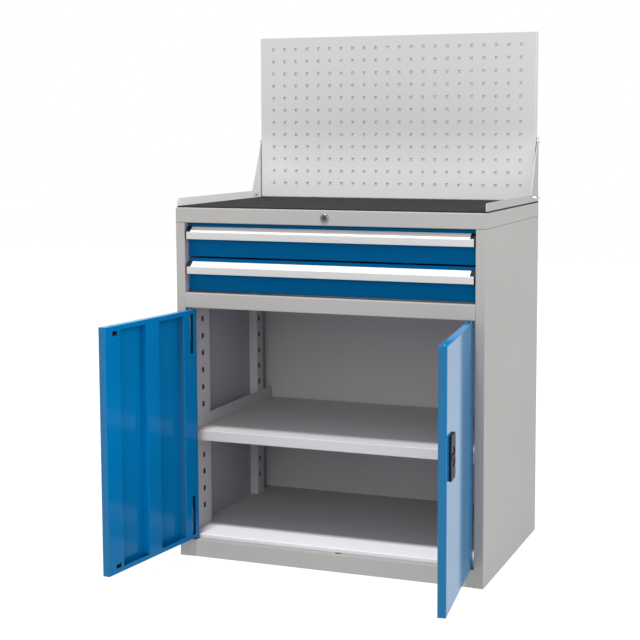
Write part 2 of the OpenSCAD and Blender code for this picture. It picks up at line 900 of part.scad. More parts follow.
// Where the flat fold inside a door turns back to the skin: the pocket's mouth follows the fold
module pocket_mouth(u, way) {
    r = fold_r + sheet;
    translate([u, door_thick]) mirror([way + 1, 0]) difference() {
        translate([-1, -r]) square([1 + r, r + 1]);
        translate([r, -r]) circle(r = r, $fn = fold_fn);
    }
}

// Door shell: folds along both upright edges closed to channels, lips at top and foot
module door_shell(free_w) {
    u0 = hinge_flange;
    u1 = door_width - free_w;
    z0 = door_foot + sheet;
    z1 = door_top - sheet;
    difference() {
        door_block(0, door_width, 0, door_thick, door_foot, door_top, fold_r + sheet);
        door_block(sheet, u0 - sheet, sheet, inside_v, z0, z1, fold_r);
        door_block(u1 + sheet, door_width - sheet, sheet, inside_v, z0, z1, fold_r);
        door_block(u0 - 1, u1 + 1, sheet, inside_v, z0, door_foot + door_lip + 4, fold_r);
        door_block(u0 - 1, u1 + 1, sheet, inside_v, door_top - door_lip - 4, z1, fold_r);
        along_z(door_foot + door_lip, door_top - door_lip) {
            translate([u0, sheet]) square([u1 - u0, door_thick]);
            pocket_mouth(u0, 0);
            pocket_mouth(u1, -1);
        }
        for (z = [door_foot + 11, door_top - 124]) {
            door_window(17, 33, z, z + 113);
        }
        bar_z(pivot_in, pivot_back, pin_r + 0.01, door_foot - 1, door_foot + 3);
        bar_z(pivot_in, pivot_back, pin_r + 0.01, door_top - 3, door_top + 1);
    }
}

module left_door_skin() {
    color(door_paint) place_left(left_open) difference() {
        door_shell(free_flange);
        bar_z(bolt_u, bolt_v, bolt_r + run_clear, door_foot - 1, door_foot + 3);
        bar_z(bolt_u, bolt_v, bolt_r + run_clear, door_top - 3, door_top + 1);
        door_window(bolt_u - 11, bolt_u + 11, door_foot + 14, door_foot + 27);
        door_window(bolt_u - 11, bolt_u + 11, door_top - 27, door_top - 14);
    }
}

module right_door_skin() {
    color(door_paint) place_right(right_open) difference() {
        door_shell(104);
        rod_mouth(rod_a_v, door_top - 3, door_top + 3);
        rod_mouth(rod_b_v, door_foot - 3, door_foot + 3);
        bar_y(lock_u, lock_z, 6, -1, sheet + 1);
    }
}

// The way of a lock rod through a guide or a door edge
module rod_mouth(v, z0, z1) {
    along_z(z0, z1) translate([rod_u, v + rod_thick / 2])
    square([rod_width + 2 * slot_clear, rod_thick + 2 * slot_clear], center = true);
}

// Upright channel that stiffens a door
module door_stiffener() {
    side = inside_v - sheet / 2;
    color(door_paint) along_z(door_foot + door_lip, door_top - door_lip)
    translate([door_width - stiffener_inset - stiffener_width + sheet / 2, sheet]) rotate(90)
    folded([side, stiffener_width - sheet, side], [-1, -1]);
}

module left_door_stiffener() {
    place_left(left_open) door_stiffener();
}

module right_door_stiffener() {
    place_right(right_open) door_stiffener();
}

// Half the profile of a round rod with bevelled ends, turned about Z
module turned_rod(r, z0, z1) {
    rotate_extrude() polygon([[0, z0], [r - 0.8, z0], [r, z0 + 0.8], [r, z1 - 0.8], [r - 0.8, z1], [0, z1]]);
}

// Hinge pins with the folded lever that draws each one back through its window
module hinge_pins() {
    color([0.72, 0.73, 0.75]) {
        translate([pivot_in, pivot_back, 0]) turned_rod(pin_r, door_top - 90, rail_foot + 3);
        translate([pivot_in, pivot_back, 0]) turned_rod(pin_r, plinth_height - 3, door_foot + 90);
        for (z = [door_foot + 60, door_top - 66]) {
            along_z(z, z + 6) translate([pivot_in, pivot_back])
            folded([16, door_thick - pivot_back - 3], [1], 2);
        }
        for (z = [door_foot + 80, door_top - 86]) {
            along_z(z, z + 6) translate([8.2, sheet + 5]) difference() {
                round_rect(13.2, 10, 1.5);
                translate([pivot_in - 8.2, pivot_back - sheet - 5]) circle(r = pin_r - 0.4);
            }
        }
    }
}

module left_hinge_pins() {
    place_left(left_open) hinge_pins();
}

module right_hinge_pins() {
    place_right(right_open) hinge_pins();
}

// Saddles that guide the slide bolts of the left door
module left_bolt_guides() {
    color([0.72, 0.73, 0.75]) place_left(left_open) for (z = [door_foot + 46, door_top - 58]) {
        along_z(z, z + 12) difference() {
            translate([bolt_u, (bolt_v + sheet) / 2]) square([18, bolt_v - sheet], center = true);
            translate([bolt_u, bolt_v]) circle(r = bolt_r + run_clear);
        }
        along_z(z, z + 12) translate([bolt_u, bolt_v]) difference() {
            circle(r = 7);
            circle(r = bolt_r + run_clear);
        }
    }
}

// A slide bolt with its thumb piece in the opening
module slide_bolt(z0, z1, thumb_z) {
    color([0.8, 0.81, 0.82]) place_left(left_open) translate([bolt_u, bolt_v, 0]) {
        turned_rod(bolt_r, z0, z1);
        along_z(thumb_z, thumb_z + 4) translate([0, (inside_v - bolt_v + 1) / 2])
        square([14, inside_v - bolt_v + 1], center = true);
    }
}

module left_bolt_upper() {
    slide_bolt(door_top - 76, door_top - 0.5, door_top - 26.5);
}

module left_bolt_lower() {
    slide_bolt(door_foot + 0.5, door_foot + 76, door_foot + 22.5);
}

// Lock plate with a turned dish for the grip
module right_lock_plate() {
    dish = plate_width / 2 - 5;
    color([0.05, 0.3, 0.52]) place_right(right_open) difference() {
        along_y(-plate_proud, 0) translate([lock_u, lock_z]) round_rect(plate_width, plate_height, 7);
        turned_y(lock_u, -plate_proud, lock_z)
        polygon([
            [0, -1], [dish + 1, -1], [dish, 0], [dish, plate_proud - 2],
            [5 + run_clear, plate_proud - 2], [5 + run_clear, plate_proud + 1], [0, plate_proud + 1]
        ]);
    }
}

// Turn grip across the dish, drawn diagonally, and its shaft through the door
module right_lock_grip() {
    dish = plate_width / 2 - 5.4;
    color([0.05, 0.3, 0.52]) place_right(right_open) {
        turned_y(lock_u, -3.8, lock_z) polygon([[0, 0], [dish - 0.6, 0], [dish, 0.6], [dish, 1.6], [0, 1.6]]);
        translate([lock_u, -3.7, lock_z]) rotate([90, 0, 0])
        linear_extrude(height = plate_proud - 2.7) round_rect(plate_width - 13, 11, 4);
        bar_y(lock_u, lock_z, 5, -3, 8);
    }
}

// Cam behind the door: a disc with one drive pin for each rod
module right_lock_cam() {
    color([0.72, 0.73, 0.75]) place_right(right_open) {
        turned_y(lock_u, 8, lock_z) polygon([[0, 0], [13.5, 0], [14, 0.5], [14, 2], [13.5, 2.5], [0, 2.5]]);
        bar_y(lock_u + pin_reach, lock_z - pin_reach, 2, 10, rod_a_v + rod_thick - 0.2);
        bar_y(lock_u - pin_reach, lock_z + pin_reach, 2, 10, rod_b_v + rod_thick - 0.2);
    }
}

// The slotted arm of a rod, which a drive pin moves; the slot lies across the rod's travel
module rod_arm(u0, z) {
    difference() {
        translate([u0, z - 6]) square([rod_u - u0, 12]);
        translate([u0 + 10, z]) round_rect(14, 5, 2.4);
    }
}

// Flat rods with cranked arms, cut from strip
module right_rod_upper() {
    z = lock_z - pin_reach;
    color([0.72, 0.73, 0.75]) place_right(right_open) along_y(rod_a_v, rod_a_v + rod_thick) {
        translate([rod_u - rod_width / 2, z - 6]) square([rod_width, door_top - 0.5 - z + 6]);
        rod_arm(lock_u - 2, z);
    }
}

module right_rod_lower() {
    z = lock_z + pin_reach;
    color([0.72, 0.73, 0.75]) place_right(right_open) along_y(rod_b_v, rod_b_v + rod_thick) {
        translate([rod_u - rod_width / 2, door_foot + 0.5]) square([rod_width, z + 6 - door_foot - 0.5]);
        rod_arm(lock_u - 15, z);
    }
}

// Guide of one rod: a block on the skin with the rod's way through it
module rod_guide(v, z) {
    depth = v + rod_thick + 1.2 - sheet;
    difference() {
        along_z(z, z + 12) translate([rod_u, sheet + depth / 2]) round_rect(24, depth, 1);
        rod_mouth(v, z - 1, z + 13);
    }
}

module right_rod_guides() {
    color([0.72, 0.73, 0.75]) place_right(right_open) {
        rod_guide(rod_a_v, door_top - 60);
        rod_guide(rod_b_v, door_foot + 48);
    }
}

side_panel_left();
side_panel_right();
back_panel();
top_cap();
rubber_mat();
divider_rail();
floor_pan();
floor_brace();
plinth_front();
plinth_rear();
front_upright_left();
front_upright_right();
rear_upright_left();
rear_upright_right();
runner_bracket_left();
runner_bracket_right();
upper_cabinet_slides();
lower_cabinet_slides();
side_upstand_left();
side_upstand_right();
perforated_panel();
panel_back();
panel_bolts();
shelf();
shelf_stiffener();
shelf_bar_left();
shelf_bar_right();
lock_barrel();
lock_nut();
lock_plug();
lock_cam();
upper_drawer_box();
upper_drawer_front();
upper_grip();
upper_grip_caps();
upper_drawer_slides();
upper_lock_catch();
upper_mid_slides();
lower_drawer_box();
lower_drawer_front();
lower_grip();
lower_grip_caps();
lower_drawer_slides();
lower_mid_slides();
left_door_skin();
left_door_stiffener();
left_hinge_pins();
left_bolt_guides();
left_bolt_upper();
left_bolt_lower();
right_door_skin();
right_door_stiffener();
right_hinge_pins();
right_rod_guides();
right_lock_plate();
right_lock_grip();
right_lock_cam();
right_rod_upper();
right_rod_lower();
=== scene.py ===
"""Dresses the tool cabinet: folded and rounded sheet metal, finishes, studio and camera.

The frame gives every solid at its real size. Sheet parts are redrawn here from the same
solids with rounded folds, and the mat and the small fittings with softened edges.
Lengths are in metres; X is to the right, Y to the rear and Z up.
"""

from __future__ import annotations

import json
import logging
import math
from dataclasses import dataclass, replace
from enum import Enum

import bmesh
import bpy
from mathutils import Matrix, Vector

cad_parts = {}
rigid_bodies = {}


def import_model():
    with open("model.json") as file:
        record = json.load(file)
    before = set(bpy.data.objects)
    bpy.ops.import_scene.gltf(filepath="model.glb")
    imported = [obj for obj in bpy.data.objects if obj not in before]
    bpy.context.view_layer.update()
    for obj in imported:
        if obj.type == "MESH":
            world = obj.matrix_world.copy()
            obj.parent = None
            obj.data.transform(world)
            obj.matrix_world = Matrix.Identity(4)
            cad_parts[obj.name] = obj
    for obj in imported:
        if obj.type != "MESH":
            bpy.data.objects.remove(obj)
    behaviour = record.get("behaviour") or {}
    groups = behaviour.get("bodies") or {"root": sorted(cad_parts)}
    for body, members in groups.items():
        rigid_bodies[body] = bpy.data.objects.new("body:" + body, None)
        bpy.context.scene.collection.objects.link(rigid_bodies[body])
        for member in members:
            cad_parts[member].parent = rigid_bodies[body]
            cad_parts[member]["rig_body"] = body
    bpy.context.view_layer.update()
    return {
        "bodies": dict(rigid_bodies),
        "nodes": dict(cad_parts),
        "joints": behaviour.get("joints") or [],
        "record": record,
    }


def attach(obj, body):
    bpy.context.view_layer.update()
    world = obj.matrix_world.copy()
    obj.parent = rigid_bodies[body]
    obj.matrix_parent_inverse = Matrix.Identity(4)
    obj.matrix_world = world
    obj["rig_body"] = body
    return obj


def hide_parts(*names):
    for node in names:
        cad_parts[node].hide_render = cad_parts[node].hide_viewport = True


LOG = logging.getLogger("tool_cabinet")
MM = 0.001

Triple = tuple[float, float, float]
Socket = bpy.types.NodeSocket

# Ways that a side of the cabinet looks
TO_FRONT: Triple = (0.0, -1.0, 0.0)
TO_LEFT: Triple = (-1.0, 0.0, 0.0)
TO_RIGHT: Triple = (1.0, 0.0, 0.0)

WHITE: Triple = (1.0, 1.0, 1.0)
BLUE_GLOSS: Triple = (0.0, 0.35, 1.0)

# How a solid's triangles are merged, and which of its edges are rounded
SAME_POINT = 0.01 * MM
SAME_PLANE = math.radians(0.5)
FOLD_ANGLE = math.radians(50.0)
SOFT_ANGLE = math.radians(40.0)
SHADE_ANGLE = math.radians(32.0)
SHORT_EDGE = 12.0 * MM
# Faces smaller than this are the walls of punched slots, which get painted shade.
SLOT_WALL = 25.0 * MM * MM


class Slot(Enum):
    """Material slots of the record."""

    BODY_PAINT = "body_paint"
    PANEL_PAINT = "panel_paint"
    FRONT_BLUE = "front_blue"
    DOOR_BLUE = "door_blue"
    LOCK_BLUE = "lock_blue"
    GRIP_METAL = "grip_metal"
    LOCK_METAL = "lock_metal"
    ZINC = "zinc"
    BLACK_PLASTIC = "black_plastic"
    MAT_RUBBER = "mat_rubber"


class Grain(Enum):
    """Texture of metal: waves in a metre, their stretch and the strength of the relief."""

    PLAIN = (90.0, None, 0.05)
    DRAWN_ALONG_X = (35.0, (1.0, 40.0, 40.0), 0.15)


class Axis(Enum):
    """Axis that a coat fades along."""

    DEPTH = "Y"
    HEIGHT = "Z"


@dataclass(frozen=True)
class Fade:
    """Where a coat grows darker, for a side that the photo's light reaches unevenly.

    Attributes:
        axis: The axis that it darkens along.
        start: Where it is still light.
        end: Where it is dark.
    """

    axis: Axis
    start: float
    end: float


class Sketch:
    """A material's node tree with short ways to add nodes and links."""

    NOISE_MIDDLE = (0.3, 0.7)
    RAMP_ENDS = (0.35, 0.65)

    def __init__(self, name: str) -> None:
        """Makes the material with its shader and its object coordinates.

        Args:
            name: The material's name.
        """
        self.material = bpy.data.materials.new(name)
        self.material.use_nodes = True
        self.tree = self.material.node_tree
        self.shader = self.tree.nodes["Principled BSDF"]
        self.place = self.tree.nodes.new("ShaderNodeTexCoord")

    def set(self, **values: object) -> None:
        """Sets sockets of the shader, with underscores for the spaces in their names."""
        for key, value in values.items():
            self.shader.inputs[key.replace("_", " ")].default_value = value

    def link(self, source: Socket, target: Socket) -> None:
        """Joins two sockets."""
        self.tree.links.new(source, target)

    def noise(self, scale: float, detail: float, stretch: Triple | None = None) -> Socket:
        """Adds a noise on the object's own coordinates.

        Args:
            scale: Waves in a metre.
            detail: Octaves of the noise.
            stretch: Scale along each axis, for grain that runs one way.

        Returns:
            The noise's value.
        """
        node = self.tree.nodes.new("ShaderNodeTexNoise")
        node.inputs["Scale"].default_value = scale
        node.inputs["Detail"].default_value = detail
        source = self.place.outputs["Object"]
        if stretch:
            mapping = self.tree.nodes.new("ShaderNodeMapping")
            mapping.inputs["Scale"].default_value = stretch
            self.link(source, mapping.inputs["Vector"])
            source = mapping.outputs["Vector"]
        self.link(source, node.inputs["Vector"])
        return node.outputs["Fac"]

    def remap(self, value: Socket, old: tuple[float, float], new: tuple[float, float]) -> Socket:
        """Maps a value from one range to another, held at both ends.

        Args:
            value: The value to map.
            old: Start and end of its range.
            new: What these become.

        Returns:
            The mapped value.
        """
        node = self.tree.nodes.new("ShaderNodeMapRange")
        names = ("From Min", "From Max", "To Min", "To Max")
        for name, number in zip(names, (*old, *new)):
            node.inputs[name].default_value = number
        self.link(value, node.inputs["Value"])
        return node.outputs["Result"]

    def along(self, fade: Fade) -> Socket:
        """Gives a value that falls from 1 to 0 along an axis.

        Args:
            fade: The axis, and where the value falls.

        Returns:
            The falling value.
        """
        split = self.tree.nodes.new("ShaderNodeSeparateXYZ")
        self.link(self.place.outputs["Object"], split.inputs["Vector"])
        return self.remap(split.outputs[fade.axis.value], (fade.start, fade.end), (1.0, 0.0))

    def polish(self, value: Socket, low: float, high: float) -> None:
        """Lets a noise move the roughness between two values."""
        polished = self.remap(value, self.NOISE_MIDDLE, (low, high))
        self.link(polished, self.shader.inputs["Roughness"])

    def tint(self, value: Socket, dark: Triple, light: Triple) -> None:
        """Colours the shader between two tones.

        Args:
            value: What chooses the tone.
            dark: Tone for its low end.
            light: Tone for its high end.
        """
        ramp = self.tree.nodes.new("ShaderNodeValToRGB")
        for stop, position, tone in zip(ramp.color_ramp.elements, self.RAMP_ENDS, (dark, light)):
            stop.position = position
            stop.color = (*tone, 1.0)
        self.link(value, ramp.inputs["Fac"])
        self.link(ramp.outputs["Color"], self.shader.inputs["Base Color"])

    def bump(
        self, value: Socket, height: float, strength: float, under: Socket | None = None
    ) -> Socket:
        """Raises the surface by a value.

        Args:
            value: What raises it.
            height: Height of the relief.
            strength: Share of the relief that shows, from 0 to 1.
            under: The bump beneath, when bumps are stacked.

        Returns:
            The bent normal, already linked to the shader.
        """
        node = self.tree.nodes.new("ShaderNodeBump")
        node.inputs["Strength"].default_value = strength
        node.inputs["Distance"].default_value = height
        self.link(value, node.inputs["Height"])
        if under:
            self.link(under, node.inputs["Normal"])
        self.link(node.outputs["Normal"], self.shader.inputs["Normal"])
        return node.outputs["Normal"]


def shade(colour: Triple, factor: float) -> Triple:
    """Gives a colour made lighter or darker by a factor."""
    return tuple(min(1.0, part * factor) for part in colour)


@dataclass(frozen=True)
class PowderCoat:
    """Baked powder paint: an even coat with a slight orange peel.

    Attributes:
        name: Material name.
        colour: Linear colour of the coat.
        roughness: Middle roughness.
        peel: Strength of the orange peel.
        shift: How far the colour wanders over a panel.
        specular: Strength of the coat's mirror part; 0.5 is a full gloss resin.
        tint: Colour of the mirror part seen square on.
        mottle: How far the roughness wanders, as a share of it.
        fade: Where the colour falls from light to dark, in place of wandering.
    """

    PATCHES = (2.3, 3.0)
    GLOSS = (55.0, 3.0)
    PEEL = (620.0, 1.5)
    PEEL_HEIGHT = 0.25 * MM

    name: str
    colour: Triple
    roughness: float = 0.6
    peel: float = 0.05
    shift: float = 0.025
    specular: float = 0.25
    tint: Triple = WHITE
    mottle: float = 0.07
    fade: Fade | None = None

    def make(self) -> bpy.types.Material:
        """Builds the material.

        Returns:
            The new material.
        """
        s = Sketch(self.name)
        patches = s.along(self.fade) if self.fade else s.noise(*self.PATCHES)
        s.tint(patches, shade(self.colour, 1 - self.shift), shade(self.colour, 1 + self.shift))
        low, high = self.roughness * (1 - self.mottle), self.roughness * (1 + self.mottle)
        s.polish(s.noise(*self.GLOSS), low, high)
        s.bump(s.noise(*self.PEEL), self.PEEL_HEIGHT, self.peel)
        s.set(Specular_IOR_Level=self.specular, Specular_Tint=(*self.tint, 1.0))
        return s.material


@dataclass(frozen=True)
class Metal:
    """Bare, plated or anodised metal.

    Attributes:
        name: Material name.
        colour: Linear colour of the metal.
        roughness: Middle roughness.
        grain: Texture of its skin.
        spangle: Strength of the crystals of a zinc plate.
        metallic: Share of bare metal under its skin.
    """

    DETAIL = 4.0
    TONES = (0.93, 1.05)
    POLISH = (-0.06, 0.08)
    LINE_HEIGHT = 0.1 * MM
    CRYSTALS = 160.0
    CRYSTAL_HEIGHT = 0.2 * MM

    name: str
    colour: Triple
    roughness: float
    grain: Grain = Grain.PLAIN
    spangle: float = 0.0
    metallic: float = 1.0

    def make(self) -> bpy.types.Material:
        """Builds the material.

        Returns:
            The new material.
        """
        s = Sketch(self.name)
        s.set(Metallic=self.metallic)
        waves, stretch, relief = self.grain.value
        lines = s.noise(waves, self.DETAIL, stretch)
        s.tint(lines, *(shade(self.colour, factor) for factor in self.TONES))
        s.polish(lines, *(self.roughness + step for step in self.POLISH))
        normal = s.bump(lines, self.LINE_HEIGHT, relief)
        if self.spangle:
            cells = s.tree.nodes.new("ShaderNodeTexVoronoi")
            cells.inputs["Scale"].default_value = self.CRYSTALS
            s.link(s.place.outputs["Object"], cells.inputs["Vector"])
            s.bump(cells.outputs["Distance"], self.CRYSTAL_HEIGHT, self.spangle, normal)
        return s.material


@dataclass(frozen=True)
class Moulded:
    """Moulded plastic or rubber with a fine grained skin.

    Attributes:
        name: Material name.
        colour: Linear colour.
        roughness: Middle roughness.
        grain: Strength of the skin's grain.
        specular: Strength of the mirror part.
        wander: How far the colour wanders.
        stretch: Scale of the patches along each axis.
        ripple: Strength of the patches' relief.
    """

    PATCHES = (12.0, 4.0)
    GLOSS = (80.0, 3.0)
    POLISH = (-0.05, 0.06)
    SKIN = (900.0, 2.0)
    SKIN_HEIGHT = 0.2 * MM
    RIPPLE_HEIGHT = 2.0 * MM

    name: str
    colour: Triple
    roughness: float
    grain: float = 0.1
    specular: float = 0.12
    wander: float = 0.15
    stretch: Triple | None = None
    ripple: float = 0.0

    def make(self) -> bpy.types.Material:
        """Builds the material.

        Returns:
            The new material.
        """
        s = Sketch(self.name)
        patches = s.noise(*self.PATCHES, self.stretch)
        s.tint(patches, shade(self.colour, 1 - self.wander), shade(self.colour, 1 + self.wander))
        s.polish(s.noise(*self.GLOSS), *(self.roughness + step for step in self.POLISH))
        waves = s.bump(patches, self.RIPPLE_HEIGHT, self.ripple) if self.ripple else None
        s.bump(s.noise(*self.SKIN), self.SKIN_HEIGHT, self.grain, waves)
        s.set(Specular_IOR_Level=self.specular)
        return s.material


# One blue paint in two tones: this lighter tone on the doors is painted light beside the drawers'
# darker tone.
DOOR_PAINT = PowderCoat(
    "coat_door",
    (0.0, 0.133, 0.335),
    roughness=0.1,
    peel=0.0,
    specular=0.15,
    tint=BLUE_GLOSS,
    mottle=0.01,
)
STAND_PAINT = PowderCoat("coat_stand", (0.41, 0.418, 0.421), peel=0.04)
# Painted light on the panel and its liner: lighter towards the bottom, darker towards the top.
PANEL_LIGHT_FADE = Fade(Axis.HEIGHT, 0.93, 1.38)
# Painted light on the floor pan: lighter at the front, darker towards the back.
FLOOR_LIGHT_FADE = Fade(Axis.DEPTH, -0.24, -0.1)


class Finish(Enum):
    """Every finish on the cabinet."""

    BODY = PowderCoat("coat_body", (0.286, 0.280, 0.273))
    # Lighter copy of the body paint for the inside: painted light, as the inside gets less light
    # than the outside.
    INSIDE = PowderCoat("body_paint_lit_inside", (0.45, 0.433, 0.447))
    # Lighter copy of the inside paint for the floor pan, lighter still at the front: painted
    # light.
    FLOOR = PowderCoat("floor_painted_light", (0.49, 0.478, 0.495), shift=0.22, fade=FLOOR_LIGHT_FADE)
    # Lighter copy of the body paint for the side panels' inner side: painted light.
    WALL = PowderCoat("body_paint_lit_wall", (0.33, 0.315, 0.345))
    # Near black for the walls of punched slots: painted shade.
    SLOT = PowderCoat("painted_slot_shade", (0.02, 0.02, 0.022), peel=0.04, specular=0.1)
    STAND = STAND_PAINT
    # Lighter copy of the stand paint for the left upstand's inner side: painted light.
    UPSTAND = replace(STAND_PAINT, name="stand_paint_lit", colour=(0.66, 0.67, 0.68))
    # The panel's own paint, made lighter towards the bottom and darker towards the top: painted
    # light.
    PANEL = replace(
        STAND_PAINT, name="panel_paint_lighter_below", colour=(0.462, 0.471, 0.475), shift=0.16, fade=PANEL_LIGHT_FADE
    )
    # Much lighter copy of the stand paint for the backing's front, lighter still towards the
    # bottom: painted light seen through the holes.
    LINER = replace(
        STAND_PAINT, name="liner_painted_light", colour=(0.86, 0.87, 0.87), shift=0.1, fade=PANEL_LIGHT_FADE
    )
    # The drawers' darker tone of the doors' blue paint: painted shade.
    DRAWER = PowderCoat("coat_drawer", (0.0, 0.069, 0.185), 0.55, peel=0.03, tint=BLUE_GLOSS)
    DOOR = DOOR_PAINT
    # Darker copies of the door paint for the doors' outer faces and front edges: painted shade.
    DOOR_FACE = replace(DOOR_PAINT, name="door_paint_shaded_face", colour=(0.0, 0.118, 0.27))
    DOOR_RIM = replace(
        DOOR_PAINT, name="door_paint_shaded_rim", colour=(0.010, 0.104, 0.228), roughness=0.3, tint=WHITE
    )
    LOCK = Moulded("moulded_lock", (0.014, 0.012, 0.018), 0.42, grain=0.08, specular=0.06)
    MAT = Moulded(
        "ribbed_rubber",
        (0.0185, 0.018, 0.019),
        0.85,
        grain=0.5,
        specular=0.18,
        wander=0.2,
        stretch=(8.0, 1.5, 8.0),
        ripple=0.2,
    )
    CAP = Moulded("moulded_cap", (0.008, 0.008, 0.008), 0.45)
    GRIP = Metal("anodised_grip", (0.41, 0.41, 0.41), 0.5, Grain.DRAWN_ALONG_X, metallic=0.15)
    # Lighter, warmer copy of the grip metal for its sloping top: painted light and a painted warm
    # reflection.
    GRIP_TOP = Metal(
        "grip_slope_painted_light", (0.59, 0.565, 0.555), 0.5, Grain.DRAWN_ALONG_X, metallic=0.15
    )
    PIN = Metal("oiled_steel", (0.2, 0.2, 0.21), 0.4)
    BOLT = Metal("blackened_steel", (0.035, 0.035, 0.04), 0.4, metallic=0.6)
    ZINC = Metal("zinc_plate", (0.62, 0.63, 0.65), 0.38, spangle=0.1)
    NICKEL = Metal("nickel_lock", (0.24, 0.24, 0.25), 0.2)
    PLUG = Metal("plug_steel", (0.09, 0.09, 0.095), 0.25)

    @property
    def material(self) -> bpy.types.Material:
        """The finish's material, made once."""
        return bpy.data.materials.get(self.value.name) or self.value.make()


def merged_copy(source: bpy.types.Object) -> bmesh.types.BMesh:
    """Copies a solid's loose triangles as one closed mesh with whole flat faces.

    Args:
        source: The object of a CAD node, which isn't changed.

    Returns:
        The copy, in place.
    """
    bm = bmesh.new()
    bm.from_mesh(source.data)
    bmesh.ops.remove_doubles(bm, verts=bm.verts, dist=SAME_POINT)
    bmesh.ops.dissolve_limit(bm, angle_limit=SAME_PLANE, verts=bm.verts, edges=bm.edges)
    return bm


def round_edges(
    bm: bmesh.types.BMesh, edges: list[bmesh.types.BMEdge], radius: float, steps: int
) -> None:
    """Rounds some edges of a mesh.

    Args:
        bm: The mesh.
        edges: The edges; those that an earlier rounding removed are passed over.
        radius: Width of the rounding, or 0 for none.
        steps: Faces across it.
    """
    alive = [edge for edge in edges if edge.is_valid]
    if not alive or radius <= 0:
        return
    bmesh.ops.bevel(
        bm,
        geom=alive,
        offset=radius,
        segments=steps,
        profile=0.5,
        affect="EDGES",
        clamp_overlap=True,
        material=-1,
    )


def piece_from(
    bm: bmesh.types.BMesh, name: str, body: str, finish: Finish
) -> bpy.types.Object:
    """Turns a finished bmesh into a piece that rides on a body.

    Args:
        bm: The shape, in place; it is freed here.
        name: The piece's name.
        body: The body it moves with.
        finish: Its finish.

    Returns:
        The new object.
    """
    mesh = bpy.data.meshes.new(name)
    for face in bm.faces:
        face.material_index = 0
    bm.normal_update()
    bm.to_mesh(mesh)
    bm.free()
    mesh.shade_smooth()
    mesh.set_sharp_from_angle(angle=SHADE_ANGLE)
    mesh.materials.append(finish.material)
    obj = bpy.data.objects.new(name, mesh)
    bpy.context.scene.collection.objects.link(obj)
    flat = obj.modifiers.new("flat_faces", "WEIGHTED_NORMAL")
    flat.keep_sharp = True
    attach(obj, body)
    LOG.info("piece %s on %s: %d faces", name, body, len(mesh.polygons))
    return obj


@dataclass
class FoldedSheet:
    """A sheet part redrawn from its solid with rounded folds and softened rims.

    Attributes:
        node: The solid it stands for.
        finish: Its finish.
        slot: The record's material slot; not used.
        fold: Outside radius of a fold.
        rim: Radius on a cut edge.
        sheet: Faces narrower than this are taken for cut edges.
        fold_steps: Faces across a fold.
        rim_steps: Faces across a rim.
    """

    node: str
    finish: Finish
    slot: Slot
    fold: float = 1.8 * MM
    rim: float = 0.25 * MM
    sheet: float = 2.6 * MM
    fold_steps: int = 3
    rim_steps: int = 1

    def _wide(self, face: bmesh.types.BMFace) -> bool:
        """Tells whether a face is more than the cut edge of the sheet."""
        return face.calc_area() >= self.sheet * face.calc_perimeter() / 2

    def _sorted_edges(
        self, bm: bmesh.types.BMesh
    ) -> tuple[list[bmesh.types.BMEdge], list[bmesh.types.BMEdge]]:
        """Finds the sharp outer edges that are long enough to round.

        Args:
            bm: The sheet's mesh.

        Returns:
            The folds, between two wide faces, and the rims, beside one.
        """
        folds, rims = [], []
        for edge in bm.edges:
            if len(edge.link_faces) != 2 or edge.calc_face_angle(0.0) < FOLD_ANGLE:
                continue
            if not edge.is_convex or edge.calc_length() <= SHORT_EDGE:
                continue
            wide = [self._wide(face) for face in edge.link_faces]
            if all(wide):
                folds.append(edge)
            elif any(wide):
                rims.append(edge)
        return folds, rims

    def build(self, frame: dict) -> bpy.types.Object:
        """Builds the piece and hides the solid it replaces.


        Returns:
            The new object.
        """
        source = frame["nodes"][self.node]
        bm = merged_copy(source)
        folds, rims = self._sorted_edges(bm)
        round_edges(bm, folds, self.fold, self.fold_steps)
        round_edges(bm, rims, self.rim, self.rim_steps)
        name, slot = "shaped_" + self.node, self.slot.value
        piece = piece_from(bm, name, source["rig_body"], self.finish)
        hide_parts(self.node)
        return piece


@dataclass
class Softened:
    """A fitting redrawn from its solid with every sharp edge rounded off.

    Attributes:
        node: The solid it stands for.
        finish: Its finish.
        slot: The record's material slot; not used.
        radius: Radius of the edges.
        steps: Faces across a rounded edge.
    """

    node: str
    finish: Finish
    slot: Slot
    radius: float = 0.3 * MM
    steps: int = 2

    def build(self, frame: dict) -> bpy.types.Object:
        """Builds the piece and hides the solid it replaces.


        Returns:
            The new object.
        """
        source = frame["nodes"][self.node]
        bm = merged_copy(source)
        joined = (edge for edge in bm.edges if len(edge.link_faces) == 2)
        sharp = [edge for edge in joined if edge.calc_face_angle(0.0) > SOFT_ANGLE]
        round_edges(bm, sharp, self.radius, self.steps)
        name, slot = "soft_" + self.node, self.slot.value
        piece = piece_from(bm, name, source["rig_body"], self.finish)
        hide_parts(self.node)
        return piece


def paint_side_tone(obj: bpy.types.Object, finish: Finish, way: Triple, spread: float = 60.0) -> None:
    """Paints light and shade by facing: gives the faces that look one way another tone of their
    finish.

    Args:
        obj: A folded or flat sheet.
        finish: The painted tone for that side.
        way: Direction that the side looks.
        spread: Greatest angle from that direction, in degrees.
    """
    index = len(obj.data.materials)
    obj.data.materials.append(finish.material)
    aim = Vector(way).normalized()
    least = math.cos(math.radians(spread))
    for face in obj.data.polygons:
        if face.normal.dot(aim) > least:
            face.material_index = index


def paint_slot_shade(obj: bpy.types.Object, finish: Finish) -> None:
    """Gives the walls of punched slots a near-black finish: painted shade in the slots.

    Args:
        obj: A slotted sheet.
        finish: The painted shade in the slots.
    """
    index = len(obj.data.materials)
    obj.data.materials.append(finish.material)
    for face in obj.data.polygons:
        if face.area < SLOT_WALL:
            face.material_index = index


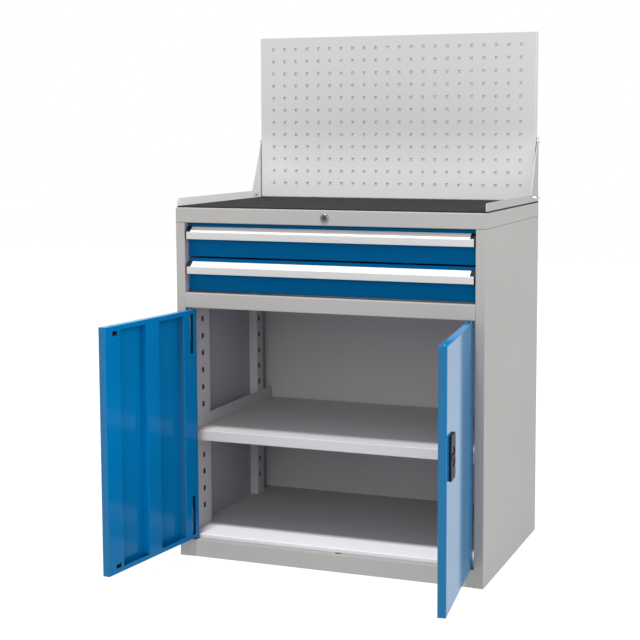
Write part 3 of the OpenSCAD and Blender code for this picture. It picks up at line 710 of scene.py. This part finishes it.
@dataclass
class CabinetBody:
    """The folded steel body, its inside, the shelf and the drawers' hidden steel.

    Attributes:
        outside: Sheets with the outer coat alone.
        inside: Sheets with the lighter inside copy of the body paint alone, which is painted
            light.
        slotted: Uprights with slots for the shelf.
        lined: Side panels, and the way that their inner side looks; that side gets a lighter copy
            of the body paint as painted light.
        inner_fold: Outside radius of the folds on inner sheets.
    """

    outside: tuple[str, ...] = (
        "top_cap",
        "divider_rail",
        "plinth_front",
        "plinth_rear",
        "floor_brace",
    )
    inside: tuple[str, ...] = (
        "runner_bracket_left",
        "runner_bracket_right",
        "shelf",
        "shelf_stiffener",
        "shelf_bar_left",
        "shelf_bar_right",
        "upper_drawer_box",
        "lower_drawer_box",
    )
    slotted: tuple[str, ...] = (
        "front_upright_left",
        "front_upright_right",
        "rear_upright_left",
        "rear_upright_right",
    )
    lined: tuple[tuple[str, Triple], ...] = (
        ("side_panel_left", TO_RIGHT),
        ("side_panel_right", TO_LEFT),
    )
    inner_fold: float = 1.5 * MM

    def inner(self, node: str, finish: Finish, frame: dict) -> bpy.types.Object:
        """Builds a sheet with the tighter folds of the inside."""
        return FoldedSheet(node, finish, Slot.BODY_PAINT, fold=self.inner_fold).build(frame)

    def build(self, frame: dict) -> None:
        """Builds every steel sheet of the body.
        """
        for node in self.outside:
            FoldedSheet(node, Finish.BODY, Slot.BODY_PAINT).build(frame)
        # Inside sheets get the lighter copy of the body paint: painted light.
        for node in self.inside:
            self.inner(node, Finish.INSIDE, frame)
        # The floor pan gets painted light, lighter at its front.
        self.inner("floor_pan", Finish.FLOOR, frame)
        for node in self.slotted:
            # The walls of the uprights' slots get painted shade.
            paint_slot_shade(self.inner(node, Finish.INSIDE, frame), Finish.SLOT)
        for node, way in self.lined:
            side = FoldedSheet(node, Finish.BODY, Slot.BODY_PAINT).build(frame)
            # The inner side of each side panel gets painted light.
            paint_side_tone(side, Finish.WALL, way)
        # The back panel's front side gets the lighter inside copy of the body paint: painted
        # light.
        paint_side_tone(self.inner("back_panel", Finish.BODY, frame), Finish.INSIDE, TO_FRONT)


@dataclass
class DrawerStack:
    """Blue drawer fronts with their grips, caps and slides.

    Attributes:
        names: The drawers, from the top.
        slides: The members of a drawer's slides.
        front_fold: Outside radius of a front's folds.
        grip_fold: Outside radius of the drawn grip's corners.
        grip_rim: Radius on the grip's cut ends.
        grip_wall: Faces of the grip narrower than this are taken for cut edges.
        slope: Way that the grip's sloping top looks; that top gets painted light.
        slope_spread: Greatest angle from that way, in degrees.
        cap_edge: Radius of the caps' edges.
        slide_edge: Radius of the slides' edges.
        catch_edge: Radius of the lock catch's edges.
    """

    names: tuple[str, ...] = ("upper", "lower")
    slides: tuple[str, ...] = ("cabinet_slides", "mid_slides", "drawer_slides")
    front_fold: float = 1.5 * MM
    grip_fold: float = 0.7 * MM
    grip_rim: float = 0.2 * MM
    grip_wall: float = 1.0 * MM
    slope: Triple = (0.0, -0.6, 0.8)
    slope_spread: float = 15.0
    cap_edge: float = 0.4 * MM
    slide_edge: float = 0.15 * MM
    catch_edge: float = 0.2 * MM

    def grip(self, name: str, frame: dict) -> None:
        """Builds a drawer's grip, with painted light on its sloping top.

        Args:
            name: The drawer.
        """
        sheet = FoldedSheet(
            f"{name}_grip",
            Finish.GRIP,
            Slot.GRIP_METAL,
            fold=self.grip_fold,
            rim=self.grip_rim,
            sheet=self.grip_wall,
        )
        # The sloping top gets painted light and a painted warm reflection.
        paint_side_tone(sheet.build(frame), Finish.GRIP_TOP, self.slope, self.slope_spread)

    def build(self, frame: dict) -> None:
        """Builds the fronts, grips and caps and dresses the slides.
        """
        for name in self.names:
            front = f"{name}_drawer_front"
            FoldedSheet(front, Finish.DRAWER, Slot.FRONT_BLUE, fold=self.front_fold).build(frame)
            self.grip(name, frame)
            caps = f"{name}_grip_caps"
            Softened(caps, Finish.CAP, Slot.BLACK_PLASTIC, self.cap_edge).build(frame)
            for part in self.slides:
                Softened(f"{name}_{part}", Finish.ZINC, Slot.ZINC, self.slide_edge).build(frame)
        Softened("upper_lock_catch", Finish.ZINC, Slot.ZINC, self.catch_edge).build(frame)


@dataclass
class DoorPair:
    """The two blue doors with what is inside them.

    Attributes:
        sides: Each door, and the way that its outer face looks in the drawn pose.
        blackened: Slide bolts of the left door.
        plated: Guides, rods and the cam.
        moulded: The lock's plate and grip.
        fold: Outside radius of a door's folds.
        rim: Radius on a door's cut edges.
        face_spread: Greatest angle from its door's outward way of a face that gets painted shade,
            in degrees.
        edge_spread: Greatest angle from the front of a free edge that gets painted shade, in
            degrees.
        lock_edge: Radius of the moulded lock's edges.
    """

    sides: tuple[tuple[str, Triple], ...] = (
        ("left", (-0.993, 0.122, 0.0)),
        ("right", (0.993, 0.122, 0.0)),
    )
    blackened: tuple[str, ...] = ("left_bolt_upper", "left_bolt_lower")
    plated: tuple[str, ...] = (
        "left_bolt_guides",
        "right_rod_guides",
        "right_rod_upper",
        "right_rod_lower",
        "right_lock_cam",
    )
    moulded: tuple[str, ...] = ("right_lock_plate", "right_lock_grip")
    fold: float = 1.6 * MM
    rim: float = 0.2 * MM
    face_spread: float = 20.0
    edge_spread: float = 30.0
    lock_edge: float = 0.7 * MM

    def sheet(self, node: str, frame: dict) -> bpy.types.Object:
        """Builds a sheet of a door."""
        return FoldedSheet(node, Finish.DOOR, Slot.DOOR_BLUE, self.fold, self.rim).build(frame)

    def build(self, frame: dict) -> None:
        """Builds the skins and dresses bolts, rods and pins.
        """
        for side, outward in self.sides:
            skin = self.sheet(f"{side}_door_skin", frame)
            # Outer faces and front edges of the skins get painted shade.
            paint_side_tone(skin, Finish.DOOR_FACE, outward, self.face_spread)
            paint_side_tone(skin, Finish.DOOR_RIM, TO_FRONT, self.edge_spread)
            self.sheet(f"{side}_door_stiffener", frame)
            Softened(f"{side}_hinge_pins", Finish.PIN, Slot.ZINC).build(frame)
        for node in self.blackened:
            Softened(node, Finish.BOLT, Slot.ZINC).build(frame)
        for node in self.plated:
            Softened(node, Finish.ZINC, Slot.ZINC).build(frame)
        for node in self.moulded:
            Softened(node, Finish.LOCK, Slot.LOCK_BLUE, self.lock_edge).build(frame)


@dataclass
class PanelStand:
    """Side upstands, perforated panel, the bolts between them, and the mat.

    Attributes:
        sides: Each upstand, and the tone of its side that looks to the right: a lighter copy of
            the stand paint as painted light on the left, the darker body coat as painted shade on
            the right.
        upstand_rim: Radius on the upstands' cut edges.
        panel_fold: Outside radius of the panel's folds.
        backing_rim: Radius on the backing sheet's edges.
        backing_wall: Faces of it narrower than this are taken for cut edges.
        bolt_edge: Radius of the bolts' edges.
        rib_edge: Radius of the mat's ribs.
    """

    sides: tuple[tuple[str, Finish], ...] = (("left", Finish.UPSTAND), ("right", Finish.BODY))
    upstand_rim: float = 0.3 * MM
    panel_fold: float = 1.6 * MM
    backing_rim: float = 0.2 * MM
    backing_wall: float = 1.6 * MM
    bolt_edge: float = 0.4 * MM
    rib_edge: float = 0.4 * MM

    def build(self, frame: dict) -> None:
        """Builds the stand's sheets and dresses the bolts and the mat.
        """
        paint = Slot.PANEL_PAINT
        for side, light in self.sides:
            node = f"side_upstand_{side}"
            upstand = FoldedSheet(node, Finish.STAND, paint, rim=self.upstand_rim).build(frame)
            # The left upstand's right side gets painted light, and the right upstand's right side
            # the darker body coat as painted shade.
            paint_side_tone(upstand, light, TO_RIGHT)
        # The panel's paint is lighter towards the bottom: painted light.
        FoldedSheet("perforated_panel", Finish.PANEL, paint, self.panel_fold, rim=0.0).build(frame)
        backing = FoldedSheet(
            "panel_back", Finish.STAND, paint, 0.0, self.backing_rim, self.backing_wall
        )
        # The backing's front side gets the painted light of the liner.
        paint_side_tone(backing.build(frame), Finish.LINER, TO_FRONT)
        Softened("panel_bolts", Finish.ZINC, Slot.ZINC, self.bolt_edge).build(frame)
        Softened("rubber_mat", Finish.MAT, Slot.MAT_RUBBER, self.rib_edge).build(frame)


@dataclass
class RailLock:
    """The cylinder lock in the top cap.

    Attributes:
        barrel_edge: Radius of the barrel's edges.
        plug_edge: Radius of the plug's edges.
    """

    barrel_edge: float = 0.4 * MM
    plug_edge: float = 0.25 * MM

    def build(self, frame: dict) -> None:
        """Dresses the cylinder, its cam and its nut.
        """
        Softened("lock_barrel", Finish.NICKEL, Slot.LOCK_METAL, self.barrel_edge).build(frame)
        Softened("lock_plug", Finish.PLUG, Slot.LOCK_METAL, self.plug_edge).build(frame)
        Softened("lock_cam", Finish.ZINC, Slot.ZINC).build(frame)
        Softened("lock_nut", Finish.ZINC, Slot.ZINC).build(frame)


@dataclass(frozen=True)
class SoftBox:
    """A rectangular studio lamp.

    Attributes:
        name: The lamp's name.
        place: Where it hangs.
        aim: The point it faces.
        size: Width and height of the box.
        power: Its power in watts.
        glow: Colour of its light.
    """

    name: str
    place: Triple
    aim: Triple
    size: tuple[float, float]
    power: float
    glow: Triple = WHITE

    def hang(self) -> None:
        """Hangs the lamp and turns it to its aim."""
        data = bpy.data.lights.new(self.name, "AREA")
        data.shape = "RECTANGLE"
        data.size, data.size_y = self.size
        data.energy = self.power
        data.color = self.glow
        lamp = bpy.data.objects.new(self.name, data)
        lamp.location = self.place
        way = Vector(self.aim) - Vector(self.place)
        lamp.rotation_euler = way.to_track_quat("-Z", "Y").to_euler()
        bpy.context.scene.collection.objects.link(lamp)


@dataclass
class Studio:
    """Pale floor, soft lights and the camera at the photograph's angle.

    Attributes:
        eye: Camera position.
        yaw: Turn of the view to the left, in degrees.
        pitch: Tilt of the view down, in degrees.
        roll: Roll of the frame, in degrees.
        picture: Width of the frame in pixels.
        focal: Focal length in pixels of that frame.
        middle: Where the view's axis meets the frame, in pixels.
        sensor: Width of the camera's sensor in millimetres.
        reach: Nearest and farthest distance that the camera sees.
        floor_half: Half the width of the floor.
        floor_tone: Linear grey of the floor's coat.
        floor_rough: Roughness of the floor.
        floor_glow: Light that the floor gives off by itself.
        boxes: The lamps.
    """

    eye: Triple = (1.3966, -3.8054, 1.2164)
    yaw: float = 20.264
    pitch: float = 5.725
    roll: float = -0.094
    picture: float = 640.0
    focal: float = 1398.9
    middle: tuple[float, float] = (360.0, 270.0)
    sensor: float = 36.0
    reach: tuple[float, float] = (0.05, 60.0)
    floor_half: float = 9.0
    floor_tone: float = 0.12
    floor_rough: float = 0.9
    floor_glow: float = 0.88
    boxes: tuple[SoftBox, ...] = (
        SoftBox("fill", (3.9, 0.0, 2.4), (0.4, 0.0, 0.6), (1.2, 1.2), 70.0),
        SoftBox("key", (-0.2, -2.85, 9.2), (0.0, -0.2, 0.6), (1.2, 0.9), 900.0),
        SoftBox("front", (1.1, -4.5, 2.3), (0.0, 0.0, 1.0), (1.6, 1.6), 48.0, (1.0, 0.97, 0.93)),
    )

    def camera(self) -> None:
        """Creates the scene's camera."""
        yaw, pitch, roll = (math.radians(turn) for turn in (self.yaw, self.pitch, self.roll))
        level = math.cos(pitch)
        ahead = Vector((-math.sin(yaw) * level, math.cos(yaw) * level, -math.sin(pitch)))
        right = Vector((math.cos(yaw), math.sin(yaw), 0.0))
        up = right.cross(ahead)
        side = right * math.cos(roll) + up * math.sin(roll)
        top = up * math.cos(roll) - right * math.sin(roll)
        data = bpy.data.cameras.new("photo_camera")
        data.sensor_width = self.sensor
        data.lens = self.focal / self.picture * self.sensor
        data.shift_x = (self.picture / 2 - self.middle[0]) / self.picture
        data.shift_y = (self.middle[1] - self.picture / 2) / self.picture
        data.clip_start, data.clip_end = self.reach
        cam = bpy.data.objects.new("photo_camera", data)
        bpy.context.scene.collection.objects.link(cam)
        turn = Matrix((side, top, -ahead)).transposed().to_4x4()
        cam.matrix_world = Matrix.Translation(self.eye) @ turn
        bpy.context.scene.camera = cam

    def floor(self) -> None:
        """Lays the pale floor."""
        bm = bmesh.new()
        bmesh.ops.create_grid(bm, x_segments=2, y_segments=2, size=self.floor_half)
        mesh = bpy.data.meshes.new("floor")
        bm.to_mesh(mesh)
        bm.free()
        obj = bpy.data.objects.new("floor", mesh)
        bpy.context.scene.collection.objects.link(obj)
        lit = Sketch("lit_floor")
        lit.set(Base_Color=(*shade(WHITE, self.floor_tone), 1.0), Roughness=self.floor_rough)
        lit.set(Emission_Color=(*WHITE, 1.0), Emission_Strength=self.floor_glow)
        mesh.materials.append(lit.material)

    def build(self) -> None:
        """Sets the whole studio."""
        scene = bpy.context.scene
        scene.view_settings.view_transform = "Standard"
        scene.world = bpy.data.worlds.new("studio")
        scene.world.use_nodes = True
        sky = scene.world.node_tree.nodes["Background"]
        sky.inputs["Color"].default_value = (*WHITE, 1.0)
        sky.inputs["Strength"].default_value = 1.0
        self.floor()
        for box in self.boxes:
            box.hang()


def main() -> None:
    """Builds every sub-assembly in order."""
    logging.basicConfig(level=logging.INFO, format="%(name)s %(message)s")
    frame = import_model()
    studio = Studio()
    studio.camera()
    for assembly in (CabinetBody(), DrawerStack(), DoorPair(), PanelStand(), RailLock()):
        assembly.build(frame)
    studio.build()


if __name__ == "__main__":
    main()
